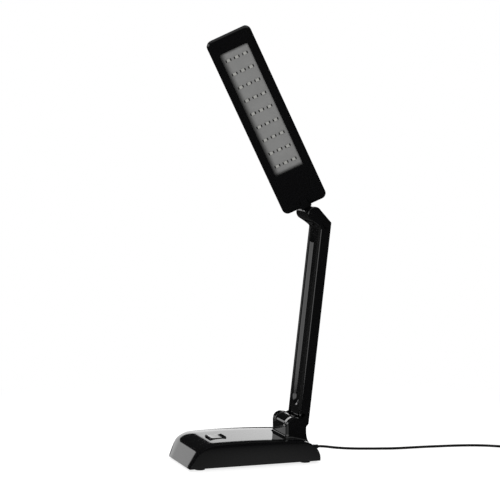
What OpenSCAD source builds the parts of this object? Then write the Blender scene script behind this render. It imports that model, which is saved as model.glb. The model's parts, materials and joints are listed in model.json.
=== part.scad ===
// Folding desk lamp with a row of small lights, a swing arm and a weighted base.
// Millimetres, +Z up. The origin is on the table under the middle of the standing lamp's
// outer box, without its cord. The base's own middle lies a little in front of it.
// The button end of the base points to -Y, the hinge and the cord to +Y.

/* [Base] */
// Width of the base across its sharp top edges
base_w = 82; // [74:1:96]
// Length of the base along the table
base_l = 135.2; // [130:0.2:160]
// Height of the base above the table at its crown
base_h = 25.8; // [24:0.1:34]
// Radius of the round rear end, seen from the side
end_r = 23; // [22:0.1:23.4]
// Slope of the straight front end, in degrees
front_slope = 61.5; // [56:0.5:66]
// Radius of the long crown of the top, seen from the side
crown_r = 850; // [700:10:1200]
// Radius of the curved side walls, seen from the front
side_r = 45; // [38:1:80]
// Wall of the base cover
base_wall = 2.2; // [1.6:0.1:3]
// Height of the rubber feet under the base
foot_h = 2; // [1:0.1:4]
// Radius of a rubber foot
foot_r = 5; // [3:0.5:8]

/* [Hinge tower] */
// Width of the tower that holds the arm
tower_w = 48; // [46:0.5:56]
// Radius of the tower's round top
tower_r = 10.2; // [9.5:0.1:11]
// Distance of the arm's pivot from the rear end of the base
pivot_in = 20.1; // [19:0.1:24]
// Height of the arm's pivot above the table
pivot_z = 33.8; // [33:0.1:42]
// Radius of the tower's upright front corners
tower_corner_r = 5.6; // [2:0.1:6]
// Radius of the hollow curve where the tower meets the base
tower_foot_r = 3; // [1:0.5:4]
// Radius of the steel pin in the lower hinge
arm_pin_r = 3; // [2:0.1:3.6]

/* [Arm] */
// Width of the arm
arm_w = 36; // [33:0.5:37]
// Thickness of the arm
arm_t = 10.1; // [9.5:0.1:11]
// Distance between the arm's pivot and the head's pivot, along the arm
arm_l = 213.6; // [180:0.1:260]
// Distance of the arm's front face behind its pivot
arm_back = 4.5; // [4:0.1:5]
// Distance of the head's pivot in front of the arm's pivot
elbow_reach = 3.85; // [3:0.05:6]
// Radius of the two ears that hold the head
ear_r = 7.3; // [6.4:0.1:8]
// Half of the gap between the two ears
ear_gap = 11.3; // [10:0.1:12.5]
// Radius of the steel pin in the upper hinge
head_pin_r = 2.5; // [1.6:0.1:3]
// Radius of the round cover set in each ear
cap_r = 4.4; // [3.4:0.1:5.2]
// Half width of the long groove at the arm's front face
groove_r = 10; // [7:0.1:11]
// Depth of the long groove
groove_depth = 2.5; // [1:0.1:2.8]
// Width of the groove's sloping wall
groove_slope = 4.8; // [2:0.1:5.5]
// Distance of the groove's lower end from the arm's pivot
groove_start = 20; // [18:0.5:40]
// Distance of the groove's upper end from the head's pivot
groove_end = 20.5; // [20:0.5:40]

/* [Head] */
// Width of the head
head_w = 47; // [44:0.5:56]
// Thickness of the head
head_t = 12; // [11:0.1:13]
// Distance from the head's pivot to the near end of the head
head_gap = 11; // [10.5:0.1:13]
// Radius of the head's corners, seen on its face
head_corner_r = 6; // [5.2:0.1:9]
// Rounding of the head's edges on the lit side
face_round = 3.6; // [1:0.1:4]
// Rounding of the head's edges on the back
back_round = 4.6; // [1:0.1:4.8]
// Width of the window over the lights
window_w = 30; // [26:0.5:34]
// Length of the window over the lights
window_l = 133; // [124:1:150]
// Distance from the head's near end to the window
window_gap = 38; // [34:0.1:40]
// Distance from the window to the head's far end
window_end = 16; // [14:0.1:20]
// Depth of the window
window_depth = 1.8; // [1:0.1:2.4]
// Number of rows of lights along the head
light_rows = 9; // [5:1:9]
// Number of lights in a row
lights_across = 3; // [2:1:3]
// Distance between rows of lights
light_pitch = 14.5; // [10:0.1:15]
// Distance between the lights in a row
light_gap = 8.8; // [6:0.1:10]

/* [Button] */
// Width of the power button
button_w = 19; // [14:0.5:22]
// Length of the power button
button_l = 17; // [12:0.5:18]
// Distance of the button's middle from the front end of the base
button_in = 37.6; // [36:0.1:42]
// Height of the button's ends above the base
button_up = 2; // [1.8:0.1:4]
// Clearance between the button and its opening
button_gap = 0.3; // [0.2:0.05:0.6]

/* [Cord] */
// Diameter of the cord
cord_d = 2.6; // [2.6:0.1:2.6]
// Height of the cord's outlet above the table
outlet_z = 9; // [9:0.1:9]

/* [Pose] */
// Lean of the arm to the rear, in degrees
arm_lean = 6.7; // [0:0.1:15]
// Rise of the head above the table's plane, in degrees
head_rise = 63.9; // [40:0.1:80]
// Turn of the head about its own neck, in degrees
head_turn = 72.4; // [0:0.1:90]

/* [Hidden] */
$fn = 64;
eps = 0.01;
// Running clearance of a pin in its bore
pin_play = 0.05;
// Clearance of a fixed pin in the part that holds it
pin_fit = 0.02;
// Clearance between moulded parts that move past each other
side_play = 0.3;
// Clearance between moulded parts that are fixed together
fixed_play = 0.1;
// Extra length of a cutting solid past the faces it cuts
over = 20;

// Base
base_middle_y = -9.2;
crown_z = base_h - crown_r;
crown_y = -14;
lap = 0.03;
shoulder_r = 20;
shoulder_in = 24.1;
shoulder_y = shoulder_in - base_l / 2;
rear_y = base_l / 2 - end_r;
shoulder_at = [shoulder_y, crown_z + sqrt((crown_r - shoulder_r) ^ 2 - (shoulder_y - crown_y) ^ 2) + lap];
rear_at = [rear_y, crown_z + sqrt((crown_r - end_r) ^ 2 - (rear_y - crown_y) ^ 2) + lap];
side_z = base_h - 2;
plate_t = 2;
plate_z = foot_h;
inside_z = plate_z + plate_t;
foot_side = 14;
foot_end = 12.6;
foot_x = base_w / 2 - foot_side;
foot_y = base_l / 2 - foot_end;
foot_in = 0.5;
base_screw_side = 27;
base_screw_end = 10.6;
base_screw_l = 8;
base_screw_x = base_w / 2 - base_screw_side;
base_screw_y = base_l / 2 - base_screw_end;
base_boss_r = 3.4;
screw_r = 1.3;
screw_head_r = 2.5;
screw_head_h = 1.2;
ballast_h = 5;
ballast_side = 15;
ballast_x = base_w / 2 - ballast_side;
ballast_top = inside_z + ballast_h;

// Hinge tower and its steel bracket
pivot_y = base_l / 2 - pivot_in;
tower_low = ballast_top + 6;
foot_z = base_h - 1.6;
foot_fall = 15;
flare = 3.6;
flare_r = 26;
flare_down = 3.8;
slot_x = arm_w / 2 + side_play;
bracket_in = slot_x + 1.2;
bracket_t = 1.6;
bracket_foot_t = 2;
bracket_r = 5.5;
bracket_y0 = pivot_y - bracket_r;
bracket_y1 = pivot_y + bracket_r;
bracket_top = pivot_z + bracket_r + 0.5;
pin_end = bracket_in + bracket_t;
washer_t = 0.9;
arm_washer_r = 5.4;
head_washer_r = 4.4;

// Arm, in its own frame: the pivot is the origin and the arm runs along +Z
arm_front = arm_back;
arm_rear = arm_back + arm_t;
face_low = 12;
heel_z = 4;
heel_cut = 2;
heel_room = 6.3;
barrel_r = 9.5;
elbow_top = arm_l - 5.7;
elbow_hollow_r = 6.3;
head_pivot_y = -elbow_reach;
hollow_z = arm_l - ear_r - elbow_hollow_r;
edge_cut = 2.2;
cover_t = 2;
cover_w = arm_w - 5;
cover_low = 13;
cover_gap = 15;
cover_high = arm_l - cover_gap;
cover_round = 3;
cavity_front = arm_front + groove_depth + 1.4;
cavity_rear = arm_rear - cover_t;
cavity_w = arm_w - 7;
cavity_low = cover_low + 3;
cavity_high = cover_high - 3;
strip_w = 9;
strip_t = 1.5;
wire_r = 0.7;
wire_x = 5.5;
arm_screw_x = cavity_w / 2 - 3;
arm_screw_in = 5.5;
arm_boss_r = 2.6;
slot_clear = 1.1;

// Neck and head, in the head's frame: the pivot is the origin, the head runs along +Z,
// its width lies along X and the lights face -Y
knuckle_w = ear_gap - side_play;
neck_r = 5.2;
neck_top = ear_r + 0.4;
spigot_r = 3.2;
spigot_bore_r = 1.7;
sleeve_r = 5.2;
sleeve_start = neck_top + 0.05;
sleeve_end = head_gap + 8.5;
clip_t = 0.8;
clip_r = 4.6;
groove_in = 0.6;
spigot_end = sleeve_end + clip_t + 1.2;
head_split = -1;
head_wall = 2;
head_l = window_gap + window_l + window_end;
cavity_end = head_gap + head_l - head_wall;
cavity_gap = 12;
head_cavity = head_gap + cavity_gap;
board_t = 1.2;
board_rim = 1.6;
board_y = -head_t / 2 + window_depth;
window_mid = head_gap + window_gap + window_l / 2;
light_l = 3.4;
light_w = 2.8;
light_h = 0.8;
fin_past = 10;
fin_end = head_gap + fin_past;
fin_low = 6;
fin_high = 4;
fin_top_low = 4.6;
fin_top_high = 2.5;
fin_rise_low = head_t / 2 + 2;
fin_rise_high = head_t / 2 + 0.5;
head_screw_x = head_w / 2 - 7.5;
head_boss_r = 2.6;
cap_t = 1.1;

// Button and switch, and the ballast behind them
button_y = base_l / 2 - button_in;
travel = 1.5;
button_top = base_h + button_up;
button_wall = 1.6;
button_low = base_h - 5;
button_roof = 3;
lip_w = 1.2;
lip_h = 1.4;
dish_r = 30;
dish_deep = 1;
board_z = 11;
board_h = 1.6;
board_l = 26;
board_w = 30;
post_r = 2.4;
post_x = 11.5;
post_y = 9.5;
switch_l = 6;
switch_h = 4;
plunger_r = 1.7;
plunger_in = 0.8;
plunger_h = travel + 0.3;
plunger_top = board_z + board_h + switch_h + plunger_h;
stem_r = 2.4;
ballast_gap = 7;
ballast_past = 4.5;
ballast_front = board_l / 2 + ballast_gap - button_y;
ballast_rear = pivot_y + ballast_past;

// Cord: its route in the open is a list of points chosen by hand. A straight stub of the
// given length is put before the first point and after the last, along the given heading
relief_start = base_l / 2 - 5;
relief_end = 79;
relief_root_r = 3;
relief_tip_r = 2;
cord_low = cord_d / 2;
stub = 2.5;
lead_route = [
    [0, 81.5, 9], [0, 88, 8.2], [0, 96, 6.8], [0, 104, 5.7], [0, 113, 4.7], [0, 122, 3.9],
    [0, 131, 3.3], [0, 140, 2.7], [0, 149, 2.2], [0, 158, 1.7], [0, 167, 1.4], [0.5, 175, 1.3],
    [1.5, 192, 1.3], [3.6, 209, 1.3], [6, 226, 1.3], [10, 243, 1.3], [16.5, 258, 1.3], [25, 270, 1.3],
    [35, 284.5, 1.3]
];
coil_turns = 12;
coil_layers = 4;
coil_mid_r = 15.6;
coil_step = 3.1;
coil_steps = 24;
coil_way = [cos(55), sin(55), 0];
coil_start = lead_route[len(lead_route) - 1] + 2 * stub * coil_way;
coil_top = [0, 0, (coil_layers - 1) * coil_step];
tail_route = concat([coil_start + 2 * stub * coil_way + coil_top], [
    [44.5, 298.5, 9.9], [48, 305, 8.3], [50, 312, 6.2], [50.5, 319, 4.5], [50.5, 324, 4]
]);
plug_at = [50.5, 326.5, 4];
plug_l = 22;
plug_w = 15;
plug_h = 8;
plug_round = 2.5;
shell_l = 12;
shell_w = 12;
shell_h = 4.5;
shell_wall = 0.4;
tongue_h = 1.8;

// Frames of the bodies. Inside on_base the origin is on the table under the base's middle
module on_base() {
    translate([0, base_middle_y, 0]) children();
}

module in_arm() {
    on_base() translate([0, pivot_y, pivot_z]) rotate([-arm_lean, 0, 0]) children();
}

module at_head_pivot() {
    in_arm() translate([0, head_pivot_y, arm_l]) rotate([arm_lean, 0, 0]) children();
}

module in_neck() {
    at_head_pivot() rotate([90 - head_rise, 0, 0]) children();
}

module in_head() {
    in_neck() rotate([0, 0, head_turn]) children();
}

// A flat shape in Y and Z, drawn out along X to both sides of the middle
module across(w) {
    rotate([90, 0, 90]) translate([0, 0, -w / 2]) linear_extrude(w) children();
}

module bar_x(r, w, fn = 64) {
    rotate([0, 90, 0]) cylinder(r = r, h = w, center = true, $fn = fn);
}

module bar_y(r, y0, y1, fn = 48) {
    translate([0, y1, 0]) rotate([90, 0, 0]) cylinder(r = r, h = y1 - y0, $fn = fn);
}

module box(x0, x1, y0, y1, z0, z1) {
    translate([x0, y0, z0]) cube([x1 - x0, y1 - y0, z1 - z0]);
}

module both_sides() {
    children();
    mirror([1, 0, 0]) children();
}

module four_corners() {
    both_sides() {
        children();
        mirror([0, 1, 0]) children();
    }
}

// Where a curve of the base's side view has a given slope in degrees
function on_curve(centre, r, slope) = centre + r * [-sin(slope), cos(slope)];

// Side view of the base: straight front, round shoulder, long crown and round rear end
module base_side(wall, low) {
    front = on_curve(shoulder_at, shoulder_r - wall - lap, front_slope);
    intersection() {
        union() {
            polygon([
                [front[0] - (front[1] - low) / tan(front_slope), low], front, shoulder_at,
                [shoulder_at[0], 2 * base_h], [rear_at[0], 2 * base_h], [rear_at[0], low]
            ]);
            translate(shoulder_at) circle(shoulder_r - wall, $fn = 360);
            translate(rear_at) circle(end_r - wall, $fn = 360);
        }
        translate([crown_y, crown_z]) circle(crown_r - wall, $fn = 1440);
        translate([-base_l, low]) square([2 * base_l, 2 * base_h]);
    }
}

// The base's outer form, taken in by a wall: the side view between two curved side walls
module base_form(wall, low) {
    intersection() {
        across(base_w + over) base_side(wall, low);
        side_wall(1, wall);
        side_wall(-1, wall);
    }
}

module side_wall(side, wall) {
    translate([side * (base_w / 2 - side_r), 0, side_z])
        rotate([90, 0, 0]) cylinder(r = side_r - wall, h = 2 * base_l, center = true, $fn = 360);
}

// The tower above the base: an upright block with round front corners under a round top
module tower_block() {
    front = pivot_y - tower_r;
    rear = pivot_y + tower_r;
    corner = tower_corner_r;
    intersection() {
        across(tower_w + over) {
            translate([pivot_y, pivot_z]) circle(tower_r, $fn = 96);
            translate([front, tower_low]) square([2 * tower_r, pivot_z - tower_low]);
        }
        union() {
            both_sides() translate([tower_w / 2 - corner, front + corner, 0]) cylinder(r = corner, h = 2 * pivot_z);
            box(corner - tower_w / 2, tower_w / 2 - corner, front, rear + over, 0, 2 * pivot_z);
            box(-tower_w / 2, tower_w / 2, front + corner, rear + over, 0, 2 * pivot_z);
        }
    }
}

// The hollow curve at a foot, drawn out from a wall that stands at the origin
module hollow(r) {
    difference() {
        translate([-1, -1]) square(r + 1);
        translate([r, r]) circle(r);
    }
}

// The hollow curves round the tower's foot follow the base's top, which falls to the rear
module tower_foot() {
    front = pivot_y - tower_r;
    corner = tower_corner_r;
    r = tower_foot_r;
    translate([0, front, foot_z]) mirror([0, 1, 0]) across(tower_w - 2 * corner) hollow(r);
    both_sides() translate([tower_w / 2 - corner, front + corner, 0]) {
        intersection() {
            translate([0, 0, foot_z]) rotate_extrude() translate([corner, 0]) hollow(r);
            box(0, 2 * corner, -2 * corner, 0, 0, 2 * pivot_z);
        }
        translate([corner, 0, foot_z]) rotate([90 - foot_fall, 0, 0]) mirror([0, 0, 1])
            linear_extrude(2 * tower_r - corner + 1) hollow(r);
    }
    translate([0, pivot_y + tower_r, 0]) across(tower_w) difference() {
        translate([-1, tower_low]) square([flare + 1, pivot_z - flare_down - tower_low]);
        translate([flare_r, pivot_z - flare_down]) circle(flare_r, $fn = 180);
    }
}

// Room for the arm's barrel and for its heel when the arm leans back
module arm_room() {
    heel_r = norm([arm_rear, heel_z]) + 0.6;
    translate([0, pivot_y, pivot_z]) {
        bar_x(barrel_r + side_play, 2 * slot_x, 96);
        intersection() {
            bar_x(heel_r, 2 * slot_x, 96);
            box(-slot_x, slot_x, 0, heel_r, -heel_room, heel_r);
        }
        box(-slot_x, slot_x, -tower_r - over, tower_r + over, 1, 2 * tower_r);
    }
}

module base_cover() {
    color([0.03, 0.03, 0.035]) on_base() difference() {
        union() {
            difference() {
                base_form(0, foot_h);
                base_form(base_wall, -eps);
            }
            intersection() {
                four_corners() translate([base_screw_x, base_screw_y, inside_z]) cylinder(r = base_boss_r, h = base_h);
                base_form(base_wall / 2, foot_h);
            }
            intersection() {
                union() {
                    tower_block();
                    tower_foot();
                }
                union() {
                    box(-base_w, base_w, 0, base_l, base_h - 3, 3 * pivot_z);
                    box(-tower_w, tower_w, pivot_y + tower_r, base_l, tower_low, base_h);
                    base_form(0, foot_h);
                }
            }
        }
        arm_room();
        both_sides() {
            box(bracket_in - 0.2, pin_end + 0.2, bracket_y0 - 0.2, bracket_y1 + 0.2, 0, bracket_top + 0.2);
        }
        translate([0, pivot_y, pivot_z]) bar_x(arm_pin_r + side_play, 2 * pin_end + 0.4);
        four_corners() translate([base_screw_x, base_screw_y, 0])
            cylinder(r = screw_r, h = inside_z + base_screw_l);
        button_opening();
        translate([0, relief_start, outlet_z]) rotate([-90, 0, 0]) cylinder(r = relief_root_r, h = over);
    }
}

module button_opening() {
    w = button_w + 2 * button_gap;
    l = button_l + 2 * button_gap;
    translate([0, -button_y, 0]) box(-w / 2, w / 2, -l / 2, l / 2, inside_z, 2 * base_h);
}

module base_plate() {
    color([0.05, 0.05, 0.05]) on_base() difference() {
        union() {
            intersection() {
                base_form(base_wall + fixed_play, -eps);
                box(-base_w, base_w, -base_l, base_l, plate_z, plate_z + plate_t);
            }
            for (x = [-post_x, post_x], y = [-post_y, post_y])
                translate([x, y - button_y, plate_z]) cylinder(r = post_r, h = board_z - plate_z);
        }
        four_corners() {
            translate([base_screw_x, base_screw_y, plate_z - eps]) {
                cylinder(r = screw_r + 0.2, h = plate_t + 1);
                cylinder(r = screw_head_r + 0.2, h = screw_head_h + 2 * eps);
            }
            translate([foot_x, foot_y, plate_z - eps]) cylinder(r = foot_r, h = foot_in + 2 * eps);
        }
    }
}

module ballast() {
    color([0.35, 0.35, 0.37]) on_base()
        box(-ballast_x, ballast_x, ballast_front, ballast_rear, inside_z, ballast_top);
}

module feet() {
    color([0.08, 0.08, 0.08]) on_base() four_corners()
        translate([foot_x, foot_y, 0]) cylinder(r = foot_r - 0.05, h = foot_h + foot_in);
}

module base_screws() {
    color([0.5, 0.5, 0.52]) on_base() four_corners() translate([base_screw_x, base_screw_y, plate_z]) {
        cylinder(r = screw_head_r, h = screw_head_h);
        cylinder(r = screw_r - pin_fit, h = base_screw_l);
    }
}

module switch_board() {
    color([0.05, 0.3, 0.15]) on_base()
        translate([0, -button_y, 0]) box(-board_w / 2, board_w / 2, -board_l / 2, board_l / 2, board_z, board_z + board_h);
}

module power_switch() {
    color([0.15, 0.15, 0.16]) on_base() translate([0, -button_y, board_z + board_h]) difference() {
        box(-switch_l / 2, switch_l / 2, -switch_l / 2, switch_l / 2, 0, switch_h);
        translate([0, 0, switch_h - plunger_in - travel - side_play])
            cylinder(r = plunger_r + pin_play, h = switch_h);
    }
}

module switch_plunger() {
    color([0.7, 0.68, 0.6]) on_base() translate([0, -button_y, plunger_top - plunger_h - plunger_in])
        cylinder(r = plunger_r, h = plunger_h + plunger_in);
}

// The button: a hollow cap with a finger dish, a lip under the cover and a stem over the switch
module power_button() {
    x = button_w / 2;
    y = button_l / 2;
    color([0.03, 0.03, 0.035]) on_base() translate([0, -button_y, 0]) {
        difference() {
            union() {
                box(-x, x, -y, y, button_low, button_top);
                box(-x - lip_w, x + lip_w, -y - lip_w, y + lip_w, button_low, button_low + lip_h);
            }
            translate([0, 0, button_top - dish_deep + dish_r]) bar_x(dish_r, button_w + over, 180);
            box(-x + button_wall, x - button_wall, -y + button_wall, y - button_wall, button_low - eps, button_top - button_roof);
        }
        translate([0, 0, plunger_top]) cylinder(r = stem_r, h = button_top - button_roof - plunger_top + eps);
    }
}

// Steel bracket on the ballast: a foot plate and two uprights that hold the pin
module hinge_bracket() {
    color([0.6, 0.6, 0.62]) on_base() difference() {
        union() {
            box(-pin_end, pin_end, bracket_y0, bracket_y1 - 1, ballast_top, ballast_top + bracket_foot_t);
            both_sides() {
                box(bracket_in, pin_end, bracket_y0, bracket_y1, ballast_top, pivot_z);
                intersection() {
                    translate([bracket_in + bracket_t / 2, pivot_y, pivot_z]) bar_x(bracket_r, bracket_t);
                    box(bracket_in, pin_end, bracket_y0, bracket_y1, pivot_z - 1, bracket_top);
                }
            }
        }
        translate([0, pivot_y, pivot_z]) bar_x(arm_pin_r + pin_fit, 3 * arm_w);
    }
}

module arm_pin() {
    color([0.7, 0.7, 0.72]) on_base() translate([0, pivot_y, pivot_z]) bar_x(arm_pin_r, 2 * pin_end);
}

// Tapered sleeve round the cord where it leaves the base
module strain_relief() {
    color([0.04, 0.04, 0.04]) on_base() translate([0, 0, outlet_z]) rotate([-90, 0, 0]) difference() {
        union() {
            translate([0, 0, relief_start]) cylinder(r = relief_root_r - 0.02, h = 7);
            translate([0, 0, relief_start + 7])
                cylinder(r1 = relief_root_r - 0.02, r2 = relief_tip_r, h = relief_end - relief_start - 7);
        }
        translate([0, 0, relief_start - eps]) cylinder(r = 0.8, h = 1);
    }
}

// Cord: points between the hand-set ones, and a tube swept along them
function between(a, b, c, d, t) =
    0.5 * ((2 * b) + (c - a) * t + (2 * a - 5 * b + 4 * c - d) * t * t + (3 * b - a - 3 * c + d) * t * t * t);

function smooth(route, parts) = let (n = len(route) - 1) concat([
    for (i = [0 : n - 1], k = [0 : parts - 1])
        between(route[max(i - 1, 0)], route[i], route[i + 1], route[min(i + 2, n)], k / parts)
], [route[n]]);

function unit(v) = v / norm(v);

function heading(path, i) =
    unit(path[min(i + 1, len(path) - 1)] - path[max(i - 1, 0)]);

function ring(p, dir, r, sides) = let (
    side = unit(cross(dir, [0, 0, 1])),
    up = cross(side, dir)
) [for (k = [0 : sides - 1]) p + r * (cos(360 * k / sides) * up + sin(360 * k / sides) * side)];

module tube(path, r, sides) {
    n = len(path);
    points = [for (i = [0 : n - 1]) each ring(path[i], heading(path, i), r, sides)];
    walls = [for (i = [0 : n - 2], k = [0 : sides - 1]) each let (
        a = i * sides + k,
        b = i * sides + (k + 1) % sides
    ) [[a, b, b + sides], [a, b + sides, a + sides]]];
    first = [for (k = [1 : sides - 2]) [0, k + 1, k]];
    end = (n - 1) * sides;
    last = [for (k = [1 : sides - 2]) [end, end + k, end + k + 1]];
    polyhedron(points, concat(walls, first, last));
}

// Coil: the turns spiral in and out at a steady rate and climb a layer where they reverse
coil_first_r = coil_mid_r + coil_step * coil_turns / coil_layers / 2;
coil_centre = coil_start + coil_first_r * [-coil_way[1], coil_way[0], 0];
turns_per_layer = coil_turns / coil_layers;

function coil_layer(u) = min(floor(u / turns_per_layer), coil_layers - 1);

function coil_radius(u) = let (
    layer = coil_layer(u),
    done = u - layer * turns_per_layer,
    inward = layer % 2 == 0 ? done : turns_per_layer - done
) coil_mid_r + coil_step * (turns_per_layer / 2 - inward);

function coil_rise(u) = let (
    nearest = min(max(round(u / turns_per_layer), 1), coil_layers - 1),
    part = min(max(2 * (u - nearest * turns_per_layer) + 0.5, 0), 1)
) nearest - 1 + part;

function coil_point(u) = let (
    r = coil_radius(u),
    a = atan2(-coil_way[0], coil_way[1]) + 360 * u
) [coil_centre[0] + r * cos(a), coil_centre[1] + r * sin(a), cord_low + coil_step * coil_rise(u)];

function stubbed(path, from, to) = let (n = len(path) - 1) concat(
    [path[0] - stub * from], path, [path[n] + stub * to]
);

ahead_y = [0, 1, 0];
coil_turned = [for (i = [0 : coil_turns * coil_steps]) coil_point(i / coil_steps)];
lead_path = stubbed(smooth(lead_route, 2), ahead_y, coil_way);
coil_path = stubbed(coil_turned, coil_way, coil_way);
tail_path = stubbed(smooth(tail_route, 2), coil_way, ahead_y);

// Least gap of the coil to itself, on points at least half a turn apart
coil_gap = min([
    for (i = [0 : coil_steps * (coil_turns - 1)])
        for (k = [i + coil_steps / 2 : len(coil_turned) - 1]) norm(coil_turned[i] - coil_turned[k])
]) - cord_d;

function length_of(path) =
    [for (i = [1 : len(path) - 1]) norm(path[i] - path[i - 1])] * [for (i = [1 : len(path) - 1]) 1];

module cord_lead() {
    color([0.05, 0.05, 0.05]) on_base() tube(lead_path, cord_d / 2, 8);
}

module cord_coil() {
    echo(least_coil_gap = coil_gap, coil_length = length_of(coil_path));
    echo(lead_length = length_of(lead_path), tail_length = length_of(tail_path));
    color([0.05, 0.05, 0.05]) on_base() tube(coil_path, cord_d / 2, 6);
}

module cord_tail() {
    color([0.05, 0.05, 0.05]) on_base() tube(tail_path, cord_d / 2, 8);
}

module plug_frame() {
    on_base() translate(plug_at) children();
}

module plug_body() {
    half_w = plug_w / 2 - plug_round;
    half_h = plug_h / 2 - plug_round;
    color([0.05, 0.05, 0.05]) plug_frame() {
        for (x = [-half_w, half_w], z = [-half_h, half_h])
            translate([x, 0, z]) bar_y(plug_round, 3, plug_l);
        box(-plug_w / 2, plug_w / 2, 3, plug_l, -half_h, half_h);
        box(-half_w, half_w, 3, plug_l, -plug_h / 2, plug_h / 2);
        bar_y(2.6, 0, 3.5);
    }
}

module plug_shell() {
    color([0.75, 0.75, 0.78]) plug_frame() {
        difference() {
            box(-shell_w / 2, shell_w / 2, plug_l, plug_l + shell_l, -shell_h / 2, shell_h / 2);
            box(-shell_w / 2 + shell_wall, shell_w / 2 - shell_wall, plug_l + 1, plug_l + shell_l + 1,
                -shell_h / 2 + shell_wall, shell_h / 2 - shell_wall);
        }
        box(-shell_w / 2 + shell_wall, shell_w / 2 - shell_wall, plug_l + 0.5, plug_l + shell_l - 1,
            shell_h / 2 - shell_wall - tongue_h, shell_h / 2 - shell_wall);
    }
}

// Side view of the arm: barrel at the pivot, long plate, bent elbow with a round ear
module arm_side() {
    ear = [head_pivot_y, arm_l];
    corner = [arm_rear, elbow_top];
    away = corner - ear;
    lean = atan2(away[1], away[0]) + acos(ear_r / norm(away));
    hollow = [arm_front - elbow_hollow_r, hollow_z];
    circle(barrel_r, $fn = 96);
    polygon([
        [arm_front, face_low], [arm_front + heel_cut, face_low - heel_cut], [arm_front + heel_cut, 0],
        [barrel_r - 0.1, -1], [arm_rear - heel_cut, 1], [arm_rear, heel_z], [arm_rear, elbow_top],
        ear + ear_r * [cos(lean), sin(lean)], ear, ear - [0, ear_r], [hollow[0], arm_l - ear_r],
        [arm_front, arm_l - ear_r], [arm_front, hollow[1]]
    ]);
    difference() {
        translate(hollow) square(elbow_hollow_r + eps);
        translate(hollow) circle(elbow_hollow_r);
    }
    translate(ear) circle(ear_r);
}

// The long groove in the front face: sloping walls round a flat floor with round ends
module arm_groove() {
    low = groove_start + groove_r;
    high = arm_l - groove_end - groove_r;
    floor_r = groove_r - groove_slope;
    translate([0, arm_front, 0]) {
        for (z = [low, high])
            translate([0, -eps, z]) rotate([-90, 0, 0])
                cylinder(r1 = groove_r, r2 = floor_r, h = groove_depth + eps);
        translate([0, 0, low]) linear_extrude(high - low)
            polygon([[-groove_r, -eps], [-floor_r, groove_depth], [floor_r, groove_depth], [groove_r, -eps]]);
    }
}

module cover_outline(gap) {
    w = cover_w / 2 - cover_round + gap;
    low = cover_low + cover_round - gap;
    high = cover_high - cover_round + gap;
    for (x = [-w, w], z = [low, high])
        translate([x, 0, z]) bar_y(cover_round, cavity_rear, arm_rear + gap);
    box(-w, w, cavity_rear, arm_rear + gap, low - cover_round, high + cover_round);
    box(-w - cover_round, w + cover_round, cavity_rear, arm_rear + gap, low, high);
}

module at_arm_screws() {
    both_sides() for (z = [cover_low + arm_screw_in, cover_high - arm_screw_in])
        translate([arm_screw_x, 0, z]) children();
}

module arm_shell() {
    color([0.03, 0.03, 0.035]) in_arm() difference() {
        union() {
            difference() {
                across(arm_w) arm_side();
                box(-cavity_w / 2, cavity_w / 2, cavity_front, cavity_rear + eps, cavity_low, cavity_high);
                cover_outline(fixed_play);
            }
            at_arm_screws() bar_y(arm_boss_r, cavity_front, cavity_rear);
        }
        arm_groove();
        at_arm_screws() bar_y(screw_r - 0.3, cavity_front + 1, arm_rear);
        bar_x(arm_pin_r + pin_play, 2 * arm_w);
        both_sides() translate([arm_w / 2 - washer_t / 2, 0, 0]) bar_x(arm_washer_r + fixed_play, washer_t + 2 * eps);
        translate([0, head_pivot_y, arm_l]) {
            bar_x(ear_r + slot_clear, 2 * ear_gap);
            bar_x(head_pin_r + pin_fit, 2 * arm_w);
            both_sides() translate([arm_w / 2 - cap_t / 2, 0, 0]) bar_x(cap_r + 0.05, cap_t + 2 * eps);
        }
        both_sides() translate([arm_w / 2, arm_front, face_low + 1]) rotate([0, 0, 45])
            translate([-edge_cut / 2, -edge_cut / 2, 0]) cube([edge_cut, edge_cut, hollow_z - face_low - 2]);
    }
}

module arm_cover() {
    color([0.03, 0.03, 0.035]) in_arm() difference() {
        cover_outline(0);
        at_arm_screws() {
            bar_y(screw_r, 0, 2 * arm_rear);
            bar_y(screw_head_r + 0.1, arm_rear - screw_head_h, arm_rear + 1);
        }
    }
}

module arm_strip() {
    color([0.6, 0.6, 0.62]) in_arm()
        box(-strip_w / 2, strip_w / 2, cavity_front, cavity_front + strip_t, cavity_low + 1, cavity_high - 1);
}

module arm_wires() {
    color([0.7, 0.1, 0.1]) in_arm() for (x = [wire_x, wire_x + 2 * wire_r + 0.1])
        translate([x, cavity_front + wire_r + 0.05, cavity_low]) cylinder(r = wire_r, h = cavity_high - cavity_low, $fn = 24);
}

module arm_screws() {
    color([0.5, 0.5, 0.52]) in_arm() at_arm_screws() {
        bar_y(screw_head_r, arm_rear - screw_head_h, arm_rear - 0.1);
        bar_y(screw_r - 0.32, cavity_front + 1, arm_rear - screw_head_h);
    }
}

module arm_washers() {
    color([0.7, 0.7, 0.72]) in_arm() both_sides() translate([arm_w / 2 - washer_t / 2, 0, 0]) difference() {
        bar_x(arm_washer_r, washer_t);
        bar_x(arm_pin_r + 0.1, 2 * washer_t);
    }
}

module head_pin() {
    color([0.7, 0.7, 0.72]) at_head_pivot() bar_x(head_pin_r, arm_w - 2 * cap_t);
}

module pin_caps() {
    color([0.03, 0.03, 0.035]) at_head_pivot() both_sides()
        translate([arm_w / 2 - cap_t / 2, 0, 0]) bar_x(cap_r, cap_t);
}

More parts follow.
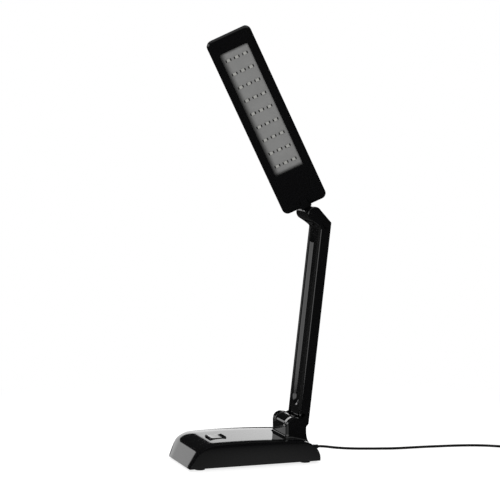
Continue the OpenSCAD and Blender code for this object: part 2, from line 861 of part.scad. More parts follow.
// Knuckle between the ears, with the hollow spigot that the head turns on
module neck_knuckle() {
    color([0.03, 0.03, 0.035]) in_neck() difference() {
        union() {
            bar_x(ear_r, 2 * knuckle_w);
            cylinder(r = neck_r, h = neck_top);
            cylinder(r = spigot_r, h = spigot_end);
        }
        bar_x(head_pin_r + pin_play, 3 * knuckle_w);
        both_sides() translate([knuckle_w - washer_t / 2, 0, 0]) bar_x(head_washer_r + fixed_play, washer_t + 2 * eps);
        translate([0, 0, head_pin_r + 1]) cylinder(r = spigot_bore_r, h = spigot_end);
        translate([0, 0, sleeve_end]) difference() {
            cylinder(r = spigot_r + 1, h = clip_t + 0.1);
            translate([0, 0, -eps]) cylinder(r = spigot_r - groove_in, h = clip_t + 1);
        }
    }
}

module neck_washers() {
    color([0.7, 0.7, 0.72]) in_neck() both_sides()
        translate([knuckle_w - washer_t / 2, 0, 0]) difference() {
            bar_x(head_washer_r, washer_t);
            bar_x(head_pin_r + 0.1, 2 * washer_t);
        }
}

// A slice of the neck's fin: a flat ridge with sloping sides over a broad foot
module fin_slice(foot, ridge, rise) {
    linear_extrude(eps) polygon([
        [-foot, head_split], [-foot, 1.6 - head_t / 2], [-ridge, -rise],
        [ridge, -rise], [foot, 1.6 - head_t / 2], [foot, head_split]
    ]);
}

module fin(grow) {
    hull() {
        translate([0, 0, sleeve_start - grow]) fin_slice(fin_low + grow, fin_top_low + grow, fin_rise_low + grow);
        translate([0, 0, fin_end - 1]) fin_slice(fin_high + grow, fin_top_high + grow, fin_rise_high + grow);
        translate([0, 0, fin_end + 0.5 + grow]) fin_slice(fin_high - 1 + grow, 1 + grow, head_t / 2 - 0.4 + grow);
    }
}

module head_neck() {
    color([0.03, 0.03, 0.035]) in_head() difference() {
        union() {
            translate([0, 0, sleeve_start]) cylinder(r = sleeve_r, h = sleeve_end - sleeve_start);
            fin(0);
        }
        cylinder(r = spigot_r + pin_play, h = 3 * sleeve_end);
        translate([0, 0, sleeve_end]) cylinder(r = clip_r + side_play, h = fin_end);
    }
}

module neck_clip() {
    color([0.7, 0.7, 0.72]) in_neck() translate([0, 0, sleeve_end + 0.05]) difference() {
        cylinder(r = clip_r, h = clip_t - 0.05);
        translate([0, 0, -1]) cylinder(r = spigot_r - groove_in + 0.1, h = 3);
    }
}

// The head's outer form: four rounded pucks with a skin drawn over them
module head_form() {
    r = head_corner_r;
    low = head_gap + r;
    high = head_gap + head_l - r;
    half = head_t / 2;
    hull() for (x = [r - head_w / 2, head_w / 2 - r], z = [low, high])
        translate([x, 0, z]) rotate([90, 0, 0]) rotate_extrude($fn = 40) polygon(concat(
            [[0, -half], [0, half]],
            [for (a = [90 : -15 : 0]) [r - face_round + face_round * cos(a), half - face_round + face_round * sin(a)]],
            [for (a = [0 : -15 : -90]) [r - back_round + back_round * cos(a), back_round - half + back_round * sin(a)]]
        ));
}

module head_room() {
    w = head_w / 2 - head_wall - 0.4;
    box(-w, w, head_split - 2.2, head_t / 2 - head_wall, head_cavity, cavity_end);
}

module at_head_screws() {
    both_sides() for (z = [head_cavity + 4, cavity_end - 4])
        translate([head_screw_x, 0, z]) children();
}

module neck_room() {
    cylinder(r = sleeve_r + fixed_play, h = sleeve_end + 0.2);
    fin(fixed_play);
    translate([0, 0, sleeve_end - eps]) cylinder(r = clip_r + 0.6, h = head_cavity - sleeve_end + 1);
}

module head_back() {
    color([0.03, 0.03, 0.035]) in_head() difference() {
        union() {
            difference() {
                head_form();
                head_room();
                box(-head_w, head_w, -head_t, head_split, 0, 2 * head_l);
            }
            at_head_screws() bar_y(head_boss_r, head_split, head_t / 2 - head_wall + eps);
        }
        neck_room();
        at_head_screws() {
            bar_y(screw_r, -head_t, head_t);
            bar_y(screw_head_r + 0.1, head_t / 2 - screw_head_h, head_t);
        }
    }
}

module head_bezel() {
    w = window_w / 2;
    board_w = w + board_rim + fixed_play;
    board_l = window_l / 2 + board_rim + fixed_play;
    color([0.03, 0.03, 0.035]) in_head() difference() {
        union() {
            difference() {
                head_form();
                head_room();
                box(-head_w, head_w, head_split, head_t, 0, 2 * head_l);
                translate([0, 0, window_mid]) {
                    box(-w, w, -head_t, 0, -window_l / 2, window_l / 2);
                    box(-board_w, board_w, board_y, 0, -board_l, board_l);
                }
            }
            intersection() {
                head_form();
                at_head_screws() bar_y(head_boss_r, -head_t / 2 + 1, head_split);
            }
        }
        neck_room();
        at_head_screws() bar_y(screw_r - 0.3, -head_t / 2 + 1.5, 0);
    }
}

module led_board() {
    w = window_w / 2 + board_rim;
    l = window_l / 2 + board_rim;
    color([0.62, 0.62, 0.6]) in_head() translate([0, 0, window_mid])
        box(-w, w, board_y, board_y + board_t, -l, l);
}

module leds() {
    color([0.8, 0.78, 0.6]) in_head()
        for (i = [0 : light_rows - 1], k = [0 : lights_across - 1])
            translate([(k - (lights_across - 1) / 2) * light_gap, 0, window_mid + (i - (light_rows - 1) / 2) * light_pitch])
                box(-light_l / 2, light_l / 2, board_y - light_h, board_y, -light_w / 2, light_w / 2);
}

module head_screws() {
    color([0.5, 0.5, 0.52]) in_head() at_head_screws() {
        bar_y(screw_head_r, head_t / 2 - screw_head_h, head_t / 2 - 0.1);
        bar_y(screw_r - 0.32, -head_t / 2 + 1.5, head_t / 2 - screw_head_h);
    }
}

base_cover();
base_plate();
ballast();
feet();
base_screws();
switch_board();
power_switch();
switch_plunger();
hinge_bracket();
arm_pin();
strain_relief();
cord_lead();
cord_coil();
cord_tail();
plug_body();
plug_shell();
power_button();
arm_shell();
arm_cover();
arm_strip();
arm_wires();
arm_screws();
arm_washers();
head_pin();
pin_caps();
neck_knuckle();
neck_washers();
head_neck();
neck_clip();
head_back();
head_bezel();
led_board();
leds();
head_screws();
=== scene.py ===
import json
import math

import bpy
import numpy as np
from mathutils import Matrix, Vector

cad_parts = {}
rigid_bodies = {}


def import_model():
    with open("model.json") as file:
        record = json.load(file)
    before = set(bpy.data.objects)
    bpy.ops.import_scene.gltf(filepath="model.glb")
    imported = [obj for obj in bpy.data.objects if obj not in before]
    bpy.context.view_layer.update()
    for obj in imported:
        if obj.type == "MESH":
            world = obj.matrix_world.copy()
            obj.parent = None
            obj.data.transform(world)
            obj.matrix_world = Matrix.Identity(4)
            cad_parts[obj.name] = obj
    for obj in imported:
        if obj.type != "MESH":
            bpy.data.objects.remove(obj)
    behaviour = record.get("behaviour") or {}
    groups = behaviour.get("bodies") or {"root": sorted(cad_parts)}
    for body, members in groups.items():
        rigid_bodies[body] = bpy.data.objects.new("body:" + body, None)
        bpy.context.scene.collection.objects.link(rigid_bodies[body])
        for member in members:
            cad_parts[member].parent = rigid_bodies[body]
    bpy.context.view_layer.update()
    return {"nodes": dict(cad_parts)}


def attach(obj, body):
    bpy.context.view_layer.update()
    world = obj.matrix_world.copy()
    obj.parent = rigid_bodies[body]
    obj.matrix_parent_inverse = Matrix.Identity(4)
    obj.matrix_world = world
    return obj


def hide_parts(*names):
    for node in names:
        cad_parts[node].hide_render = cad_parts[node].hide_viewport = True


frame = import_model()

# Camera: the photograph was taken from about two metres, a little above the lamp and round to its
# button end, so that the long side of the base faces the lens.
CAMERA_AT = Vector((1.86275, -0.64799, 0.40790))
CAMERA_LOOKS = Vector((-0.94028, 0.32560, -0.09932))
lens_data = bpy.data.cameras.new("photo_camera")
lens_data.sensor_width = 36
lens_data.lens = 144
lens_data.clip_end = 20
camera = bpy.data.objects.new("photo_camera", lens_data)
camera.location = CAMERA_AT
camera.rotation_euler = CAMERA_LOOKS.to_track_quat("-Z", "Y").to_euler()
bpy.context.collection.objects.link(camera)
bpy.context.scene.camera = camera
bpy.context.scene.view_settings.view_transform = "Standard"

# The lamp is drawn from the middle of its base, which lies a little in front of the origin.
BASE_MIDDLE = np.array([0.0, -0.0092, 0.0])


# The cord: a round soft lead, 2.6 mm thick, that leaves the rear of the base through its strain
# relief, falls to the table, runs off to the side and ends in a round coil with its plug.
LEAD_ROUTE = [
    [0, 81.5, 9], [0, 88, 8.2], [0, 96, 6.8], [0, 104, 5.7], [0, 113, 4.7], [0, 122, 3.9],
    [0, 131, 3.3], [0, 140, 2.7], [0, 149, 2.2], [0, 158, 1.7], [0, 167, 1.4], [0.5, 175, 1.3],
    [1.5, 192, 1.3], [3.6, 209, 1.3], [6, 226, 1.3], [10, 243, 1.3], [16.5, 258, 1.3], [25, 270, 1.3],
    [35, 284.5, 1.3],
]
CORD_D = 2.6
STUB = 2.5
COIL_R = 15.6
TURNS = 12
LAYERS = 4
TURN_STEP = 3.1
COIL_WAY = np.array([math.cos(math.radians(55)), math.sin(math.radians(55)), 0])
COIL_START = LEAD_ROUTE[-1] + 2 * STUB * COIL_WAY
TAIL_ROUTE = [
    (COIL_START + 2 * STUB * COIL_WAY + [0, 0, (LAYERS - 1) * TURN_STEP]).tolist(),
    [44.5, 298.5, 9.9], [48, 305, 8.3], [50, 312, 6.2], [50.5, 319, 4.5], [50.5, 324, 4],
]


def smooth_route(route, parts=2):
    """A curve through every given point: between two points, the cubic whose slope at each
    point is half the step from its neighbour before to its neighbour after."""
    p = np.array(route, float)
    p = np.vstack([p[:1], p, p[-1:]])
    a, b, c, d = (p[i:len(p) - 3 + i, None, :] for i in range(4))
    t = (np.arange(parts) / parts)[None, :, None]
    bend = (2 * a - 5 * b + 4 * c - d) * t ** 2
    swing = (3 * b - a - 3 * c + d) * t ** 3
    curve = 0.5 * (2 * b + (c - a) * t + bend + swing)
    return np.vstack([curve.reshape(-1, 3), p[-1:]])


def coil_turns(steps=24, middle_r=COIL_R, step=TURN_STEP):
    """Turns that spiral in and out at a steady rate: the radius falls and rises by one step per
    turn, and the height climbs one step in the half turn round each reversal."""
    per_layer = TURNS / LAYERS
    u = np.arange(TURNS * steps + 1) / steps
    layer = np.minimum(np.floor(u / per_layer), LAYERS - 1)
    done = u - layer * per_layer
    inward = np.where(layer % 2 == 0, done, per_layer - done)
    r = middle_r + step * (per_layer / 2 - inward)
    nearest = np.clip(np.round(u / per_layer), 1, LAYERS - 1)
    rise = nearest - 1 + np.clip(2 * (u - nearest * per_layer) + 0.5, 0, 1)
    angle = math.atan2(-COIL_WAY[0], COIL_WAY[1]) + 2 * np.pi * u
    centre = COIL_START + (middle_r + step * per_layer / 2) * np.array([-COIL_WAY[1], COIL_WAY[0], 0])
    height = CORD_D / 2 + step * rise
    return np.stack([centre[0] + r * np.cos(angle), centre[1] + r * np.sin(angle), height], 1)


lead = smooth_route(LEAD_ROUTE)
tail = smooth_route(TAIL_ROUTE)
cord_line = np.vstack([
    lead[:1] - [0, STUB, 0], lead, lead[-1:] + STUB * COIL_WAY, coil_turns(),
    tail[:1] - STUB * COIL_WAY, tail, tail[-1:] + [0, STUB, 0],
]) / 1000 + BASE_MIDDLE


def round_tube(name, line, radius, sides=12):
    """A tube: at each point of the line a ring stands square to the line, its points at equal
    angles from straight up, and the ends are closed by a point in their middle."""
    way = np.gradient(line, axis=0)
    way /= np.linalg.norm(way, axis=1, keepdims=True)
    side = np.cross(way, [0, 0, 1.0])
    side /= np.linalg.norm(side, axis=1, keepdims=True)
    up = np.cross(side, way)
    a = 2 * np.pi * np.arange(sides) / sides
    spokes = np.cos(a)[None, :, None] * up[:, None] + np.sin(a)[None, :, None] * side[:, None]
    rings = line[:, None] + radius * spokes
    n = len(line)
    i, k = np.meshgrid(np.arange(n - 1), np.arange(sides), indexing="ij")
    k1 = (k + 1) % sides
    here, after = i * sides, (i + 1) * sides
    quads = np.stack([here + k, here + k1, after + k1, after + k], -1).reshape(-1, 4)
    k = np.arange(sides)
    first = np.stack([np.full(sides, n * sides), (k + 1) % sides, k], 1)
    end = (n - 1) * sides
    last = np.stack([np.full(sides, n * sides + 1), end + k, end + (k + 1) % sides], 1)
    points = np.vstack([rings.reshape(-1, 3), line[:1], line[-1:]])
    mesh = bpy.data.meshes.new(name)
    mesh.from_pydata(points.tolist(), [], quads.tolist() + first.tolist() + last.tolist())
    mesh.shade_smooth()
    piece = bpy.data.objects.new(name, mesh)
    bpy.context.collection.objects.link(piece)
    return piece


cord = round_tube("power_cord", cord_line, CORD_D / 2000)
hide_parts("cord_lead", "cord_coil", "cord_tail")
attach(cord, "base")


def plastic(name, colour, rough, grain=0.0, grain_scale=900.0, spread=0.04):
    """Moulded plastic: roughness drifts slowly over the part, and a fine noise raises the skin."""
    m = bpy.data.materials.new(name)
    m.use_nodes = True
    nodes, links = m.node_tree.nodes, m.node_tree.links
    shader = nodes["Principled BSDF"]
    shader.inputs["Base Color"].default_value = (*colour, 1)
    shader.inputs["IOR"].default_value = 1.5
    place = nodes.new("ShaderNodeTexCoord")
    drift = nodes.new("ShaderNodeTexNoise")
    drift.inputs["Scale"].default_value = 35
    drift.inputs["Detail"].default_value = 3
    span = nodes.new("ShaderNodeMapRange")
    span.inputs["To Min"].default_value = rough - spread
    span.inputs["To Max"].default_value = rough + spread
    links.new(place.outputs["Object"], drift.inputs["Vector"])
    links.new(drift.outputs["Fac"], span.inputs["Value"])
    links.new(span.outputs["Result"], shader.inputs["Roughness"])
    if grain:
        pores = nodes.new("ShaderNodeTexNoise")
        pores.inputs["Scale"].default_value = grain_scale
        pores.inputs["Detail"].default_value = 2
        bump = nodes.new("ShaderNodeBump")
        bump.inputs["Strength"].default_value = grain
        bump.inputs["Distance"].default_value = 0.0002
        links.new(place.outputs["Object"], pores.inputs["Vector"])
        links.new(pores.outputs["Fac"], bump.inputs["Height"])
        links.new(bump.outputs["Normal"], shader.inputs["Normal"])
    return m


def dress(material, *names):
    """Puts one material on the named pieces of the model."""
    for n in names:
        o = frame["nodes"].get(n) or bpy.data.objects[n]
        o.data.materials.clear()
        o.data.materials.append(material)


gloss = plastic("gloss_black", (0.003, 0.003, 0.0033), 0.07, grain=0.03, spread=0.02)
dull = plastic("dull_black", (0.01, 0.01, 0.01), 0.5, grain=0.3)
jacket = plastic("cord_jacket", (0.006, 0.006, 0.006), 0.42, grain=0.2, grain_scale=1500)
dress(jacket, "power_cord")
dress(dull, "base_plate", "plug_body", "power_switch", "switch_plunger")


# Base cover: one glossy black moulding. Seen from the side its outline is a straight front, two
# shoulder curves, a very long crown and a round rear end; its side walls are parts of a cylinder.
def skin(name, patches, turn, at, body, node, material, edge=0.0, crisp=32):
    """One mesh from patches of points in millimetres. Each patch is an array of rows
    and columns of points whose neighbours make faces; points that meet are joined into one."""
    shape, faces, start = [], [], 0
    for grid in patches:
        rows, columns = grid.shape[:2]
        k = start + np.arange(rows * columns).reshape(rows, columns)
        faces.append(np.stack([k[:-1, :-1], k[1:, :-1], k[1:, 1:], k[:-1, 1:]], -1).reshape(-1, 4))
        shape.append(grid.reshape(-1, 3))
        start += rows * columns
    points = np.vstack(shape)
    _, first, same = np.unique(np.round(points, 3), axis=0, return_index=True, return_inverse=True)
    quads = same.reshape(-1)[np.vstack(faces)]
    polygons = []
    for q in quads.tolist():
        ring = [v for m, v in enumerate(q) if v != q[m - 1]]
        if len(set(ring)) == len(ring) > 2:
            polygons.append(ring)
    world = points[first] @ np.array(turn).T + at
    mesh = bpy.data.meshes.new(name)
    mesh.from_pydata((world / 1000 + BASE_MIDDLE).tolist(), [], polygons)
    mesh.shade_smooth()
    mesh.set_sharp_from_angle(angle=math.radians(crisp))
    piece = bpy.data.objects.new(name, mesh)
    bpy.context.collection.objects.link(piece)
    if edge:
        soft = piece.modifiers.new("soft_edges", "BEVEL")
        soft.width = edge / 1000
        soft.segments = 3
        soft.limit_method = "ANGLE"
        soft.angle_limit = math.radians(40)
        soft.use_clamp_overlap = True
        soft.harden_normals = True
    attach(piece, body)
    if node:
        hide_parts(node)
    dress(material, name)
    return piece


def mirrored(patches):
    """The patches and their mirror images in X, with the faces turned to stay outward."""
    return patches + [(g * [-1, 1, 1])[:, ::-1] for g in patches]


OPENING_X, OPENING_Y = 9.8, (-38.8, -21.2)
CROWN_R, CROWN_MIDDLE, CROWN_TOP = 850, -14, 25.8
SHOULDER_R, BROW_R, REAR_R = 26, 13, 23
FRONT_SLOPE, BROW_SLOPE, CROWN_FRONT, CROWN_REAR, REAR_SLOPE = 61.5, 36, 1.9, -4.1, -86.7
COVER_FOOT = 2


def bow(centre, r, slope_a, slope_b, steps):
    """Points of an arc between two slopes, in degrees, with their outward directions."""
    a = np.radians(np.linspace(slope_a, slope_b, steps + 1))
    out = np.stack([-np.sin(a), np.cos(a)], 1)
    return np.hstack([np.array(centre) + r * out, out])


def outward(slope):
    """The direction square to a slope given in degrees, in the side view."""
    return np.array([-math.sin(math.radians(slope)), math.cos(math.radians(slope))])


def base_profile():
    """The side outline from the front's foot over the crown to the rear's foot. Each curve starts
    where the one before it ends, in the same direction."""
    crown = np.array([CROWN_MIDDLE, CROWN_TOP - CROWN_R])
    shoulder = crown + (CROWN_R - SHOULDER_R) * outward(CROWN_FRONT)
    brow = shoulder + (SHOULDER_R - BROW_R) * outward(BROW_SLOPE)
    rear = crown + (CROWN_R - REAR_R) * outward(CROWN_REAR)
    front_end = brow + BROW_R * outward(FRONT_SLOPE)
    run = front_end[1] - COVER_FOOT
    t = np.linspace(1, 0, 8)[:-1, None]
    fall = np.array([[1 / math.tan(math.radians(FRONT_SLOPE)), 1]])
    front = np.hstack([front_end - t * run * fall, np.tile(outward(FRONT_SLOPE), (7, 1))])
    opening_front, opening_rear = OPENING_Y
    ys = np.concatenate([np.linspace(-41.3, opening_front, 3),
                         np.linspace(opening_front, opening_rear, 9)[1:],
                         np.linspace(opening_rear, 45.1, 24)[1:]])
    along = (ys - CROWN_MIDDLE) / CROWN_R
    out = np.stack([along, np.sqrt(1 - along ** 2)], 1)
    top = np.hstack([crown + CROWN_R * out, out])
    return np.vstack([front, bow(brow, BROW_R, FRONT_SLOPE, BROW_SLOPE, 9)[:-1],
                      bow(shoulder, SHOULDER_R, BROW_SLOPE, CROWN_FRONT, 12)[:-1], top,
                      bow(rear, REAR_R, CROWN_REAR, REAR_SLOPE, 20)[1:]])


def half_width(z):
    """Half of the base's width at a height: side walls of 45 mm radius."""
    return -4 + np.sqrt(45.0 ** 2 - (z - 23.8) ** 2)


profile = base_profile()
EDGE = 0.12
inset = profile[:, :2] - EDGE * profile[:, 2:]
wide = half_width(inset[:, 1])
beside = wide - EDGE - OPENING_X
columns = []
for share in (-1, -0.75, -0.5):
    columns.append(np.stack([-OPENING_X + beside * (share + 0.5) * 2, profile[:, 0], profile[:, 1]], 1))
for x in np.linspace(-OPENING_X, OPENING_X, 5)[1:]:
    columns.append(np.stack([0 * wide + x, profile[:, 0], profile[:, 1]], 1))
for share in (0.75, 1):
    columns.append(np.stack([OPENING_X + beside * (share - 0.5) * 2, profile[:, 0], profile[:, 1]], 1))
for turned in np.radians([30, 60, 90]):
    p = inset + EDGE * math.cos(turned) * profile[:, 2:]
    columns.append(np.stack([wide - EDGE + EDGE * math.sin(turned), p[:, 0], p[:, 1]], 1))
for t in np.linspace(0, 1, 9)[1:]:
    z = np.maximum(inset[:, 1], COVER_FOOT) * (1 - t) + COVER_FOOT * t
    columns.append(np.stack([half_width(z), inset[:, 0], z], 1))
left = [c * [-1, 1, 1] for c in columns[9:][::-1]]
sheet = np.stack(left + columns, 1)
sheet[..., 2] = np.maximum(sheet[..., 2], COVER_FOOT)
first_x = len(left) + 2
r0, r1 = (int(np.argmin(np.abs(profile[:, 0] - y) + (profile[:, 1] < 24) * 99)) for y in OPENING_Y)
rim = sheet[r0:r1 + 1, first_x:first_x + 5]
down = np.array([0, 0, -3.0])
walls = [np.stack([rim[:, 0] + down, rim[:, 0]], 0), np.stack([rim[:, -1], rim[:, -1] + down], 0),
         np.stack([rim[0], rim[0] + down], 0), np.stack([rim[-1] + down, rim[-1]], 0)]
foot = np.array([[-35.4, -68.0], [35.4, -68.0], [35.4, 68.1], [-35.4, 68.1], [-35.4, -68.0]])
foot_inside = foot * [0.938, 0.968]
ledge = np.stack([np.column_stack([foot, np.full(5, 2.0)]), np.column_stack([foot_inside, np.full(5, 2.0)]),
                  np.column_stack([foot_inside, np.full(5, 5.0)])], 0)
cover_patches = [ledge] + [g[:, ::-1] for g in walls + [
    sheet[:r0 + 1], sheet[r1:], sheet[r0:r1 + 1, :first_x + 1], sheet[r0:r1 + 1, first_x + 4:]]]

# The hinge tower is part of the same moulding: two ears with round tops and round front corners beside
# the arm's barrel, a trough under the barrel, and hollow curves where it stands on the base.
PIVOT_Y, PIVOT_Z, TOWER_R, BED_R = 47.5, 33.8, 10.2, 9.8
TOWER_FRONT, TOWER_REAR, EAR_INNER = 37.3, 57.7, 18.3
FOOT_R, FLARE_R, FLARE_TOP = 3, 26, 30
a = np.radians(np.linspace(0, 90, 13))
b = np.radians(np.linspace(90, 180, 6))
plan = np.vstack([
    [[EAR_INNER, TOWER_FRONT, 0, -1]],
    np.stack([18.4 + 5.6 * np.sin(a), 42.9 - 5.6 * np.cos(a), np.sin(a), -np.cos(a)], 1),
    [[24, y, 1, 0] for y in np.linspace(42.9, 56.2, 12)[1:-1]],
    np.stack([22.5 + 1.5 * np.sin(b), 56.2 - 1.5 * np.cos(b), np.sin(b), -np.cos(b)], 1),
    [[EAR_INNER, TOWER_REAR, 0, 1]],
])
top = PIVOT_Z + np.sqrt(np.maximum(TOWER_R ** 2 - (plan[:, 1] - PIVOT_Y) ** 2, 0))
ground = 24.2 - np.maximum(plan[:, 1] - 42.9, 0) * math.tan(math.radians(15))
low_rows = np.array([16, 18, 19, 20, 20.5, 21, 21.5, 22, 22.5, 23, 23.5, 24, 24.4, 24.8, 25.3, 26, 27.2,
                     28.5, FLARE_TOP])
heights = [np.full(len(plan), z) for z in low_rows]
heights += [FLARE_TOP + (top - FLARE_TOP) * t for t in np.linspace(0, 1, 7)[1:]]
wall_rows = []
for z in heights:
    h = z - ground
    sunk = np.clip(FOOT_R - h, 0, FOOT_R)
    hollow = np.where(h > 0, FOOT_R - np.sqrt(np.maximum(FOOT_R ** 2 - sunk ** 2, 0)), FOOT_R - h)
    flare = FLARE_R - np.sqrt(FLARE_R ** 2 - np.maximum(FLARE_TOP - z, 0) ** 2)
    back = np.clip(plan[:, 3], 0, 1) ** 2
    grow = hollow * (1 - back) + flare * back
    wall_rows.append(np.stack([plan[:, 0] + grow * plan[:, 2], plan[:, 1] + grow * plan[:, 3], z], 1))
wall = np.stack(wall_rows, 1)
inner = np.full(len(plan), EAR_INNER)
roof = np.stack([np.stack([inner + (plan[:, 0] - inner) * t, plan[:, 1], top], 1)
                 for t in np.linspace(0, 1, 4)], 1)
cheek = np.stack([np.stack([inner, plan[:, 1], z + 0 * top], 1) for z in (16, top)], 1)
ear = [wall, roof[:, ::-1], cheek[:, ::-1]]


def trough():
    """Side outline of the middle: the front wall with its hollow foot, the round bed of the barrel and
    the low rear wall with its flare."""
    front = [[TOWER_FRONT - (FOOT_R - FOOT_R * math.cos(t)), 27.2 - FOOT_R * math.sin(t)]
             for t in np.radians(np.linspace(90, 0, 8))]
    bed = [[PIVOT_Y + BED_R * math.cos(t), PIVOT_Z + BED_R * math.sin(t)]
           for t in np.radians(np.linspace(174, 320, 30))]
    rear = [[TOWER_REAR + FLARE_R - math.sqrt(FLARE_R ** 2 - (FLARE_TOP - z) ** 2), z]
            for z in np.linspace(27.5, 16, 10)]
    return np.array([[34.3, 16]] + front + [[TOWER_FRONT, 34.8]] + bed + rear + [[34.3, 16]])


line = trough()
middle = np.stack([np.column_stack([np.full(len(line), x), line]) for x in (-EAR_INNER, EAR_INNER)], 0)
skin("cover_skin", cover_patches + mirrored(ear) + [middle], np.eye(3), np.zeros(3),
     "base", "base_cover", gloss, edge=0.4)


# Power button: a moulded square cap whose top is dished for a finger, its two ends curling up.
def rounded(half_x, half_y, r, steps=6):
    """Plan of a rectangle with round corners, once round, starting on its right side."""
    ring = []
    corners = ((half_x - r, half_y - r, 0), (r - half_x, half_y - r, 90),
               (r - half_x, r - half_y, 180), (half_x - r, r - half_y, 270))
    for cx, cy, start in corners:
        for t in np.radians(np.linspace(start, start + 90, steps + 1)):
            ring.append([cx + r * math.cos(t), cy + r * math.sin(t)])
    return np.array(ring + ring[:1])


def split_long(ring, longest):
    """The same ring with points added so that no straight run is longer than the given length."""
    out = []
    for p, q in zip(ring[:-1], ring[1:]):
        n = max(1, int(math.ceil(np.linalg.norm(q - p) / longest)))
        out.extend(p + (q - p) * k / n for k in range(n))
    return np.array(out + [ring[-1]])


def dish(y):
    """Height of the button's top: level in the middle, rising steeply over the last part."""
    return 26.2 + 1.25 * np.clip(np.abs(y) / 8.5, 0, 1) ** 4


rings = []
outline = split_long(rounded(9.5, 8.5, 2.2), 1.2)
edge_steps = ((None, 0), (0.5, 0), (0.25, 0.1), (0.07, 0.25))
dish_steps = ((0, 0.5), (0, 1.6), (0, 3.4), (0, 5.4), (0, 7.4))
for drop, shrink in edge_steps + dish_steps:
    xy = outline * [(9.5 - shrink) / 9.5, (8.5 - shrink) / 8.5]
    z = np.full(len(xy), 22.0) if drop is None else dish(xy[:, 1]) - drop
    rings.append(np.column_stack([xy + [0, -30], z]))
rings.append(np.column_stack([outline * [0.02, 0.02] + [0, -30], np.full(len(outline), 26.2)]))
skin("button_skin", [np.stack(rings[::-1], 0)], np.eye(3), np.zeros(3), "base", "power_button", gloss, crisp=60)

# Arm: a flat moulded bar, 36 mm wide, with a long shallow groove in its front face. Its foot is a barrel
# in the tower, its head is bent forward and split into two round ears that hold the head's hinge.
ELBOW = (-3.85, 213.6)
ARM_FRONT, ARM_REAR, BARREL_R, EAR_R = 4.4, 14.6, 9.9, 7.3
ARM_HALF, EAR_GAP, ARM_EDGE = 18, 11.3, 1.5


def turn_x(degrees):
    """A turn about the lamp's x axis."""
    c, v = math.cos(math.radians(degrees)), math.sin(math.radians(degrees))
    return np.array([[1, 0, 0], [0, c, -v], [0, v, c]])


def turn_z(degrees):
    """A turn about the upright axis."""
    c, v = math.cos(math.radians(degrees)), math.sin(math.radians(degrees))
    return np.array([[c, -v, 0], [v, c, 0], [0, 0, 1]])


def arc_points(centre, r, start, end, steps):
    """Points of a circle about a centre from one angle to another, both in degrees."""
    t = np.radians(np.linspace(start, end, steps + 1))
    return np.stack([centre[0] + r * np.cos(t), centre[1] + r * np.sin(t)], 1).tolist()


arm_turn, arm_at = turn_x(-6.7), np.array([0, PIVOT_Y, PIVOT_Z])
front_steps = np.concatenate([[ARM_FRONT + 4.5], np.arange(14, 33, 0.6), np.arange(34, 182, 6.0),
                              np.arange(182, 199, 0.6)])
corner_line = arc_points((ARM_REAR - 2, 206.0), 2, 0, 38, 5)
ear_line = arc_points(ELBOW, EAR_R, 38, 250, 34)
under = [[-5.0, 206.1], [-2.0, 204.6], [1.0, 202.9], [3.4, 201.3], [4.1, 200.6], [4.33, 199.8]]
# From the barrel's rear up the rear face, round the ear, down the front face and round the barrel.
loop = np.array([[9.6, -1.0], [12.6, 1.0], [ARM_REAR, 4.0], [ARM_REAR, 12.84], [ARM_REAR, 12.87]]
                + [[ARM_REAR, z] for z in np.linspace(20, 195, 12)] + [[ARM_REAR, 198.72], [ARM_REAR, 198.75]]
                + corner_line + ear_line + under + [[ARM_FRONT, z] for z in front_steps[::-1]]
                + arc_points((0, 0), BARREL_R, 62, 350, 60))
loop = np.vstack([loop, loop[:1]])


def drawn_in(line, depth):
    """The closed line moved inward by a depth, square to its own direction."""
    way = np.roll(line[:-1], -1, 0) - np.roll(line[:-1], 1, 0)
    way /= np.linalg.norm(way, axis=1, keepdims=True)
    moved = line[:-1] - depth * np.stack([way[:, 1], -way[:, 0]], 1)
    return np.vstack([moved, moved[:1]])


def groove_depth(x, z):
    """Depth of the groove: its wall slopes in from a long oval, 10 mm to each side of the middle, to a
    level floor 2.5 mm down; both turns of the slope are rounded a little."""
    low, high = 30.0, 183.2
    reach = np.hypot(x, z - np.clip(z, low, high))
    t = np.clip((10.0 - reach) / 4.8, 0, 1)
    return 2.5 * (t - 0.04 * np.sin(2 * np.pi * t))


def slab(xs, insets, line):
    """Rows of points: the line repeated at each x, drawn in by the inset given there."""
    rows = []
    for x, depth in zip(xs, insets):
        p = drawn_in(line, depth) if depth else line
        rows.append(np.column_stack([np.full(len(p), x), p]))
    return np.stack(rows, 0)


def cover_seat(grid):
    """The rear face sunk 2.1 mm where the cover plate lies in it, 31.2 mm wide."""
    seat = (np.abs(grid[..., 1] - ARM_REAR) < 0.001) & (np.abs(grid[..., 0]) < 15.63)
    grid[..., 1] -= 2.1 * (seat & (grid[..., 2] > 12.86) & (grid[..., 2] < 198.73))


across_x = np.concatenate([[-EAR_GAP], np.arange(-10.8, -4.4, 0.4), [-4, -2, 0, 2, 4],
                           np.arange(4.8, 10.9, 0.4), [EAR_GAP]])
main = slab(across_x, 0 * across_x, loop)
on_face = (np.abs(main[..., 1] - ARM_FRONT) < 0.001) & (main[..., 2] > 12) & (main[..., 2] < 199)
main[..., 1] += np.where(on_face, groove_depth(main[..., 0], main[..., 2]), 0)
